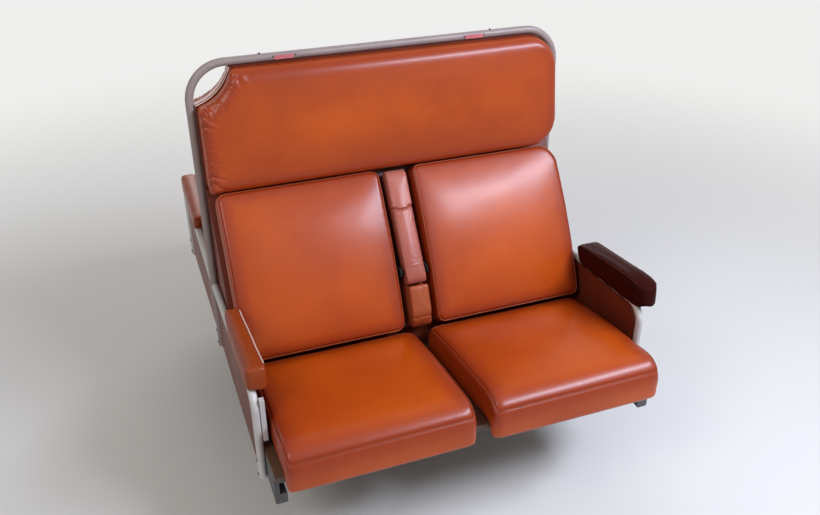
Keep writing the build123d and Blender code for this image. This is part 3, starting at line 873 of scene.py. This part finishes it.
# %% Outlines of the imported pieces' faces
def face_outline(source, facing):
    """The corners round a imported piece's largest flat face that looks along a direction."""
    shell = joined_shell(source)
    bmesh.ops.dissolve_limit(shell, angle_limit=math.radians(1), verts=shell.verts,
                             edges=shell.edges)
    flat = [face for face in shell.faces if face.normal.dot(facing) > 0.995]
    largest = max(flat, key=lambda face: face.calc_area())
    corners = [vert.co.copy() for vert in largest.verts]
    shell.free()
    return corners


# %% [markdown]
# ## The back cushions
#
# Each bench has two. They lean back and are fuller low down, where the small of the back
# rests. The upper outer corner on the wall side is well rounded. A welt runs round the face.
# One cushion could be copied four times, but the aisle and wall cushions differ in that corner,
# so both are made, and each has its twin on the rear bench.

# %% Make the back cushions
welt_lines = []
hinge_below_top = 0.317  # down the leaning panel, from its top to the armrest's pin
hinge_before_panel = 0.0665  # from the panel's face to the pin
panel_face = hinge - back_down * hinge_below_top - back_out * hinge_before_panel
for side, corners in (("aisle", (23 * mm, 21 * mm, 21 * mm, 21 * mm)),
                      ("wall", (21 * mm, 57 * mm, 21 * mm, 21 * mm))):
    source = f"back_cushion_{side}_front"
    cushion = swell(f"{side}_back_cushion_front", source, back_out, back_down, crown=9 * mm,
                    rounding=6)
    low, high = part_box(source)
    along = [(Vector(v.co) - panel_face).dot(back_down) for v in nodes[source].data.vertices]
    middle = Vector(((low.x + high.x) / 2, panel_face.y, panel_face.z))
    middle += back_down * (min(along) + max(along)) / 2
    inset = 6 * mm
    ring = rounded_frame(middle, across, back_down, (high.x - low.x) / 2 - inset,
                         (max(along) - min(along)) / 2 - inset, corners)
    line = drop_on(cushion, [p + back_out * 0.2 for p in ring], -back_out, reach=0.1)
    pull_in(cushion, line, depth=2.0 * mm, reach=8 * mm)
    # Painted shade: darker beside the welt's seam, and faintly darker over a wide band towards the
    # rims.
    paint_shade_beside(cushion, line, reach=70 * mm, strength=0.9)
    paint_shade_beside(cushion, line[::8], reach=170 * mm, strength=0.4)
    welt_lines.append(([p - back_out * 0.7 * mm for p in line], True))
    on_both_benches(cushion, f"{side}_back_cushion", f"back_cushion_{side}", cover)

# %% [markdown]
# ## The seat cushions
#
# A seat cushion is a thick slab that turns down over the front of its pan. The sitter's weight
# has softened its top, so it is crowned less than a back cushion. Its welt runs round the top, a
# little in from the edges. The cushion leans only a few degrees, so the welt's line is drawn
# level and dropped straight down.

# %% Make the seat cushions
for side in ("aisle", "wall"):
    source = f"seat_cushion_{side}_front"
    cushion = swell(f"{side}_seat_cushion_front", source, seat_up, seat_forward, crown=8 * mm,
                    voxel=7.5 * mm)
    low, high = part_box(source)
    middle = Vector(((low.x + high.x) / 2, (low.y + high.y) / 2, 0))
    side_inset, front_inset, corner = 7 * mm, 10 * mm, 16 * mm
    ring = rounded_frame(middle, across, forward, (high.x - low.x) / 2 - side_inset,
                         (high.y - low.y) / 2 - front_inset, (corner,) * 4)
    line = drop_on(cushion, [p + up for p in ring], -up, reach=0.1)
    pull_in(cushion, line, depth=2.0 * mm, reach=8 * mm)
    # Painted shade, darker beside the welt's seam.
    paint_shade_beside(cushion, line, reach=70 * mm, strength=0.9)
    welt_lines.append(([p - up * 0.6 * mm for p in line], True))
    on_both_benches(cushion, f"{side}_seat_cushion", f"seat_cushion_{side}", cover)

# %% The welts of the eight cushions
grow_along("cushion_welts", sweep_tree, welt_cover, on_both(welt_lines), Wide=1.4 * mm,
           Thick=1.4 * mm)

# %% [markdown]
# ## The headrests
#
# One pad runs across both places. It is thin at the top, where it rolls back under the tube,
# and thicker at its foot. At the aisle its cover is gathered over the end and round the
# hand-hold, so folds start at that edge and lean downwards. A thin pale piping lies on the pad's
# edge in the hand-hold, and a wider pale edging covers the edge of the core board behind it.
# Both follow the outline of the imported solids, which is more exact than an arc drawn anew.

# %% Make the headrests
headrest = swell("headrest_pad_front", "headrest_front", head_out, head_down, crown=9 * mm,
                 rounding=4, voxel=6.5 * mm, side=1.5 * mm, longer=3 * mm)
outline = face_outline("headrest_front", head_out)
hold_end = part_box("headrest_front")[0].x + 112 * mm  # how far across the hand-hold reaches
aisle_edge = sorted((p for p in outline if p.x < hold_end), key=lambda p: p.z)
aisle_edge = drop_on(headrest, even_line(aisle_edge, 6 * mm), -head_out, reach=0.1)
roll_back(headrest, head_out, -head_down, reach=42 * mm, depth=6.5 * mm)
gather(headrest, aisle_edge, depth=5.2 * mm, reach=50 * mm, pitch=24 * mm, lean=0.6)
gather(headrest, aisle_edge, depth=1.4 * mm, reach=32 * mm, pitch=12 * mm, lean=0.9)
rim = even_line(outline, 12 * mm, closed=True)
# Painted shade: darker near the pad's rim, and faintly over a wide band, where the light falls off.
paint_shade_beside(headrest, rim, reach=60 * mm, strength=0.85)
paint_shade_beside(headrest, rim[::6], reach=190 * mm, strength=0.5)
on_both_benches(headrest, "headrest_pad", "headrest", head_cover)

# %% The hand-hold's edging and pipings
core_corners = face_outline("headrest_core", forward)
hold_foot = 1.03  # the height at which the hand-hold starts
hold = sorted((p for p in core_corners if p.x < hold_end and p.z > hold_foot), key=lambda p: p.z)
hold = even_line(hold, 5 * mm)
middle_line = [Vector((p.x, 0, p.z)) for p in hold]
grow_along("hand_hold_edging", sweep_tree, pale_welt, [(middle_line, False)], Wide=7.0 * mm,
           Thick=2.4 * mm, Sides=14)
piping = [Vector((p.x + 1.3 * mm, p.y - 4.5 * mm, p.z - 1.3 * mm)) for p in hold]
grow_along("hand_hold_piping", sweep_tree, pale_welt, on_both([(piping, False)]), Wide=1.7 * mm,
           Thick=1.7 * mm)

# %% [markdown]
# ## The centre armrests
#
# Each stands folded up between two back cushions. Its cover has a cap at the tip, sewn on over
# the long part with a seam that sags in the middle, and the long part is a little baggy between
# two side seams. The cap could be a piece of its own. Raising the points above the seam leaves
# one surface, which can't gape when the armrest moves. Shade is painted along the seams, and the
# cover is painted darker towards the foot, where less light falls than on its top. The armrest
# turns on a pin near its lower end, so these pieces ride on its own body.


# %% Make the centre armrests
cap_end = -184 * mm  # where the cap ends, measured down the folded armrest from its hinge
half_arm = 31 * mm


def along_arm(points):
    """How far points lie down the folded armrest, from its hinge."""
    return (points - np.array(hinge)) @ np.array(arm_down)


def cap_edge(x):
    """Where the cap's edge lies across the armrest: it sags in the middle and is sewn askew."""
    return cap_end + 9 * mm * (1 - (x / half_arm) ** 2) - 0.05 * x


arm = swell("centre_armrest_front", "centre_arm_front", arm_out, arm_down, crown=4 * mm,
            rounding=4, voxel=3.6 * mm, side=1 * mm)
points = points_of(arm.data)
cap_step = 2.5 * mm  # the cap's edge rises over this length
above = np.clip((cap_edge(points[:, 0]) - along_arm(points)) / cap_step, 0, 1)
set_points(arm.data, points + normals_of(arm.data) * (above * 2.0 * mm)[:, None])
wrinkle(arm, depth=1.8 * mm, stretch=(1.2, 0.6, 0.6), size=20 * mm,
        mask=lambda p: closeness(np.abs(along_arm(p) - cap_end - 20 * mm), 45 * mm))
wrinkle(arm, depth=0.8 * mm, stretch=(0.5, 1.3, 1.3), size=22 * mm,
        mask=lambda p: closeness(np.abs(along_arm(p) + 25 * mm), 50 * mm))

# %% The seams on the armrests
cap_seam = []
for x in np.linspace(-half_arm, half_arm, 21):
    cap_seam.append(hinge + across * x + arm_down * (cap_edge(x) + 1 * mm) + arm_out * 0.1)
cap_seam = drop_on(arm, cap_seam, -arm_out, reach=0.05)
side_seams = []
for x in (-25 * mm, 25 * mm):
    run = [hinge + across * x + arm_down * place + arm_out * 0.1
           for place in np.linspace(cap_end + 5 * mm, 12 * mm, 30)]
    side_seams.append(drop_on(arm, run, -arm_out, reach=0.05))
pull_in(arm, cap_seam, depth=1.6 * mm, reach=5 * mm, closed=False)
# Painted shade beside the cap's seam and the side seams.
paint_shade_beside(arm, cap_seam, reach=9 * mm, strength=0.9, closed=False)
for seam in side_seams:
    pull_in(arm, seam, depth=1.0 * mm, reach=5 * mm, closed=False)
    paint_shade_beside(arm, seam, reach=8 * mm, strength=0.6, closed=False)
# Painted shade: the cover gets darker towards the foot, where less light falls.
foot = [hinge + across * x + arm_down * 12 * mm + arm_out * 40 * mm for x in (-half_arm, half_arm)]
paint_shade_beside(arm, foot, reach=150 * mm, strength=0.65, closed=False)
on_both_benches(arm, "centre_armrest", "centre_arm", arm_cover,
                bodies=("arm_front", "arm_rear"))
for end, sign in (("front", 1), ("rear", -1)):
    row = [Vector((p.x, sign * (p.y - 0.2 * mm), p.z)) + up * 3.2 * mm for p in cap_seam]
    grow_along(f"armrest_stitches_{end}", stitch_tree, thread, [(row, False)], body=f"arm_{end}")

# %% [markdown]
# ## The fixed pads under the armrests
#
# A small padded block fills the gap below each armrest. A seam crosses it a little below the
# middle, and shade is painted in below the seam, which makes the cloth there darker. It is made
# as the cushions are, with smaller faces, because a coarse surface would lose its corners.

# %% Make the fixed pads
block = swell("arm_block_front", "arm_stub_front", back_out, back_down, crown=3 * mm, rounding=3,
              voxel=4 * mm, side=1 * mm)
wrinkle(block, depth=1.2 * mm, stretch=(1.2, 0.7, 0.7), size=24 * mm,
        mask=lambda p: np.ones(len(p)))
block_low, block_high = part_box("arm_stub_front")
ahead = -0.6  # a place in front of the block, from where the seam is dropped onto it
seam_height = block_high.z - (block_high.z - block_low.z) * 0.60
seam = [Vector((x, ahead, seam_height)) for x in np.linspace(block_low.x, block_high.x, 14)]
seam = drop_on(block, seam, -forward, reach=0.0)
pull_in(block, seam, depth=2.2 * mm, reach=6 * mm, closed=False)
# Painted shade: a darker band just below the seam, deeper in the gap.
paint_shade_beside(block, [p - up * 16 * mm for p in seam], reach=34 * mm, strength=0.8, closed=False)
on_both_benches(block, "arm_block", "arm_stub", block_cover)

# %% [markdown]
# ## The side arm pads
#
# The aisle pads are slim, with a pale welt along the edge towards the seat. The wall pads are
# large, and their cover is painted near black, as the shade that the wall casts on them. They
# have a stitched seam along each upper edge, and their faces roll back to a round nose. The
# edges' lines could come from the solid, but the swollen pad has moved away from it. So they
# are found on the pad's own surface: at each station along it, the points that reach furthest
# in a direction.


# %% A pad's upper edges
def ridge(piece, towards, stations):
    """Points along a piece's edge: at each station along Y, what reaches furthest."""
    points = points_of(piece.data)
    reach = points @ np.array(towards)
    found = []
    for station in stations:
        slab = (np.abs(points[:, 1] - station) < 4 * mm).nonzero()[0]
        furthest = slab[np.argsort(reach[slab])[-4:]]
        found.append(points[furthest].mean(axis=0))
    found = np.array(found)
    for _ in range(3):
        found[1:-1] = 0.5 * found[1:-1] + 0.25 * (found[:-2] + found[2:])
    return [Vector(point) for point in found]


# %% Make the side arm pads
pad_welts, pad_rows = [], []
for side, inward, finish, slot_name, crown, rounding in (
        ("aisle", 1, aisle_arm_cover, "leathercloth", 3 * mm, 7),
        ("wall", -1, wall_arm_cover, "wall_arm_cover", 12 * mm, 24)):
    source = f"arm_pad_{side}_front"
    pad = swell(f"{side}_arm_pad_front", source, up, forward, crown, rounding=rounding,
                voxel=4.5 * mm, side=1.2 * mm)
    if side == "wall":
        roll_back(pad, up, forward, reach=105 * mm, depth=15 * mm)
        roll_back(pad, forward, up, reach=34 * mm, depth=9 * mm)
        for sideways in (across, -across):
            roll_back(pad, sideways, forward, reach=75 * mm, depth=12 * mm)
            roll_back(pad, forward, sideways, reach=34 * mm, depth=12 * mm)
    low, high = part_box(source)
    stations = np.linspace(high.y - 14 * mm, low.y + 34 * mm, 48)
    inner = ridge(pad, Vector((inward, 0, 1)), stations)
    outer = ridge(pad, Vector((-inward, 0, 1)), stations)
    for edge_line in (inner, outer):
        pull_in(pad, edge_line, depth=0.9 * mm, reach=6 * mm, closed=False)
        # Painted shade along the pad's upper edges.
        paint_shade_beside(pad, edge_line, reach=14 * mm, strength=0.7, closed=False)
    if side == "aisle":
        pad_welts.append((inner, False))
    else:
        for line, turn in ((inner, inward), (outer, -inward)):
            beside = Vector((-turn * 5 * mm, 0, 1 * mm))
            row = drop_on(pad, [p + beside + up * 0.03 for p in line], -up, reach=0.05)
            pad_rows.append((row, False))
    on_both_benches(pad, f"{side}_arm_pad", f"arm_pad_{side}", finish)
grow_along("arm_pad_welts", sweep_tree, pale_welt, on_both(pad_welts), Wide=1.9 * mm,
           Thick=1.9 * mm)
grow_along("arm_pad_stitches", stitch_tree, thread, on_both(pad_rows))

# %% [markdown]
# ## Screws, buffers and weld beads
#
# The label plates are held by a screw at each end, and the covered side panels by rows of
# screws near their edges. Two small buffers sit on the hoop. Bolts hold the panels' lower ends
# to the posts and the hoop's legs. On the underframe a bead of weld runs round each upright
# where it meets the cross member and the floor bar. All these places could be typed in. Here
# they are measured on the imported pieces, so each screw lies on its own panel or plate.


# %% Rows of fixings along an outline
def along_edges(corners, facing, inset, pitch, shortest):
    """Points inside an outline's long edges, at even steps, a little in from the edge."""
    centre = sum(corners, Vector()) / len(corners)
    found = []
    for start, end in zip(corners, corners[1:] + corners[:1]):
        run = end - start
        if run.length < shortest:
            continue
        inwards = facing.cross(run).normalized()
        if inwards.dot(centre - start) < 0:
            inwards = -inwards
        steps = max(1, round((run.length - 2 * inset) / pitch))
        for count in range(steps):
            place = inset + (run.length - 2 * inset) * count / steps
            found.append(start + run.normalized() * place + inwards * inset)
    return found


# %% Screws in the label plates
hoop_low, hoop_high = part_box("hoop_tube")
tube_radius = hoop_high.y
plate_tilt = math.radians(12)
tilted = Vector((0, -math.cos(plate_tilt), math.sin(plate_tilt)))
screws = []
for name in ("label_plate_aisle", "label_plate_wall"):
    low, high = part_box(name)
    for x in (low.x - 4.5 * mm, high.x + 4.5 * mm):
        screws.append(Vector((x, 0, hoop_high.z - tube_radius)) + tilted * (tube_radius - 0.2 * mm))
grow("label_screws", screw_tree, dark_screw, screws, facing=[tilted] * len(screws),
     slot="frame_paint", Radius=2.6 * mm, Height=0.5)

# %% Screws along the side panels' edges
panel_screws, directions = [], []
for side, facing in (("aisle", -across), ("wall", across)):
    for end in ("front", "rear"):
        corners = face_outline(f"side_panel_{side}_{end}", facing)
        row = along_edges(corners, facing, inset=13 * mm, pitch=105 * mm, shortest=60 * mm)
        panel_screws += row
        directions += [facing] * len(row)
grow("panel_screws", screw_tree, dark_screw, panel_screws, facing=directions, slot="frame_paint",
     Radius=3.6 * mm, Height=0.45)

# %% Buffers on the hoop
buffers = [Vector((x, 0, hoop_high.z - 0.4 * mm)) for x in (-0.338, 0.320)]
grow("hoop_buffers", screw_tree, rubber, buffers, facing=[up] * 2, slot="buffer_rubber",
     Radius=3.5 * mm, Height=0.9, Slot=0.0)

# %% Bolts in the posts and in the hoop's legs
bolts, directions = [], []
for side, facing in (("aisle", -across), ("wall", across)):
    panel_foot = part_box(f"side_panel_{side}_front")[0].z
    rail_low, rail_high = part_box(f"arm_rail_{side}_front")
    post_x, post_y = (rail_low.x + rail_high.x) / 2, rail_low.y + tube_radius
    leg_x = hoop_low.x + tube_radius if side == "aisle" else hoop_high.x - tube_radius
    for x, y, sunk in ((post_x, post_y, 1.4 * mm), (post_x, -post_y, 1.4 * mm),
                       (leg_x, 0, 0.4 * mm)):
        for z in (panel_foot + 16 * mm, panel_foot + 60 * mm):
            bolts.append(Vector((x, y, z)) + facing * (tube_radius - sunk))
            directions.append(facing)
grow("frame_bolts", screw_tree, dark_screw, bolts, facing=directions, slot="frame_paint",
     Radius=5.0 * mm, Height=0.5, Slot=0.0)

# %% Lay the weld beads
beads = []
for side in ("aisle", "wall"):
    for end in ("front", "rear"):
        low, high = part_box(f"upright_{side}_{end}")
        for z in (low.z + 1 * mm, high.z - 1 * mm):
            corners = [Vector((x, y, z)) for x, y in ((low.x, low.y), (high.x, low.y),
                                                      (high.x, high.y), (low.x, high.y))]
            beads.append((even_line(corners, 4 * mm, closed=True), True))
grow_along("weld_beads", sweep_tree, weld_grey, beads, slot="frame_paint", Wide=2.4 * mm,
           Thick=2.4 * mm, Uneven=1.6 * mm, Sides=7)

# %% [markdown]
# ## The stage, the light and the camera
#
# The camera stands where the photograph was taken from: 1.8 m above the floor, to the left of
# the seat. A soft lamp high on the window side lies where the covers mirror it into the camera,
# and gives the glow on the wall cushion and the headrest. Near the seat the floor is real and
# takes a shadow. Further out it fades to the same pale tone as the world, so that no horizon
# shows. A curved backdrop could hide the horizon too, but only from the front, and this seat is
# looked at from all sides.

# %% Floor and backdrop
pale = (0.86, 0.86, 0.85, 1)


def seen_directly(tree):
    """1 where a ray comes from the camera, a mirror or glass, and 0 for light on the object."""
    ray = node(tree, "ShaderNodeLightPath").outputs
    mirrored_too = maths(tree, "MAXIMUM", ray["Is Camera Ray"], ray["Is Glossy Ray"])
    return maths(tree, "MAXIMUM", mirrored_too, ray["Is Transmission Ray"])


stage_tone, tree, surface = new_finish("stage_tone", 0.9)
surface["Base Color"].default_value = (0.69, 0.675, 0.645, 1)
place = node(tree, "ShaderNodeTexCoord").outputs["Object"]
distance = node(tree, "ShaderNodeVectorMath", place, operation="LENGTH")
fade = node(tree, "ShaderNodeMapRange", interpolation_type="SMOOTHSTEP",
            Value=distance.outputs["Value"], From_Min=1.2, From_Max=3.8)
glow = node(tree, "ShaderNodeEmission", pale)
both = node(tree, "ShaderNodeMixShader",
            maths(tree, "MULTIPLY", fade.outputs["Result"], seen_directly(tree)),
            tree.nodes["Principled BSDF"].outputs[0], glow.outputs[0])
feed(tree, tree.nodes["Material Output"].inputs["Surface"], both.outputs[0])
half_floor = 12
floor_mesh = bpy.data.meshes.new("floor")
floor_mesh.from_pydata([(x * half_floor, y * half_floor, 0)
                        for x, y in ((-1, -1), (1, -1), (1, 1), (-1, 1))], [], [(0, 1, 2, 3)])
floor = new_piece("floor", floor_mesh, stage_tone)

# %% Lamps and world
world = bpy.data.worlds.new("studio")
scene.world = world
world.use_nodes = True
tree = world.node_tree
soft_light = tree.nodes["Background"]
soft_light.inputs["Color"].default_value = (0.95, 0.95, 0.96, 1)
soft_light.inputs["Strength"].default_value = 0.30
backdrop = node(tree, "ShaderNodeBackground", pale)
both = node(tree, "ShaderNodeMixShader", seen_directly(tree), soft_light.outputs[0],
            backdrop.outputs[0])
feed(tree, tree.nodes["World Output"].inputs["Surface"], both.outputs[0])


def soft_lamp(name, place, aim, width, height, power, colour=(1, 1, 1)):
    """A rectangular lamp at a place, aimed at a point."""
    data = bpy.data.lights.new(name, "AREA")
    data.shape = "RECTANGLE"
    data.size = width
    data.size_y = height
    data.energy = power
    data.color = colour
    lamp = bpy.data.objects.new(name, data)
    scene.collection.objects.link(lamp)
    lamp.location = place
    lamp.rotation_euler = (Vector(aim) - Vector(place)).to_track_quat("-Z", "Y").to_euler()
    return lamp


soft_lamp("window_side", (1.60, -1.85, 2.6), (0.15, -0.2, 0.8), width=1.9, height=0.42, power=112,
          colour=(0.76, 0.82, 1.0))
soft_lamp("aisle_side", (-2.4, -1.9, 3.2), (0, -0.2, 0.6), width=1.6, height=1.6, power=44,
          colour=(1.0, 0.96, 0.93))
soft_lamp("rear_side", (0.6, 3.4, 2.6), (0, 0.3, 0.6), width=2.2, height=1.4, power=45)

# %% Camera
camera_data = bpy.data.cameras.new("camera")
camera = bpy.data.objects.new("camera", camera_data)
scene.collection.objects.link(camera)
scene.camera = camera
camera_place = Vector((-0.722, -2.153, 1.799))
camera_aim = Vector((0.02, -0.16, 0.553))
camera.location = camera_place
camera.rotation_euler = (camera_aim - camera_place).to_track_quat("-Z", "Y").to_euler()
camera_data.sensor_width = 36
camera_data.lens = 37
scene.view_settings.view_transform = "Standard"
print("the camera stands", round((camera_aim - camera_place).length, 2), "m from its aim")
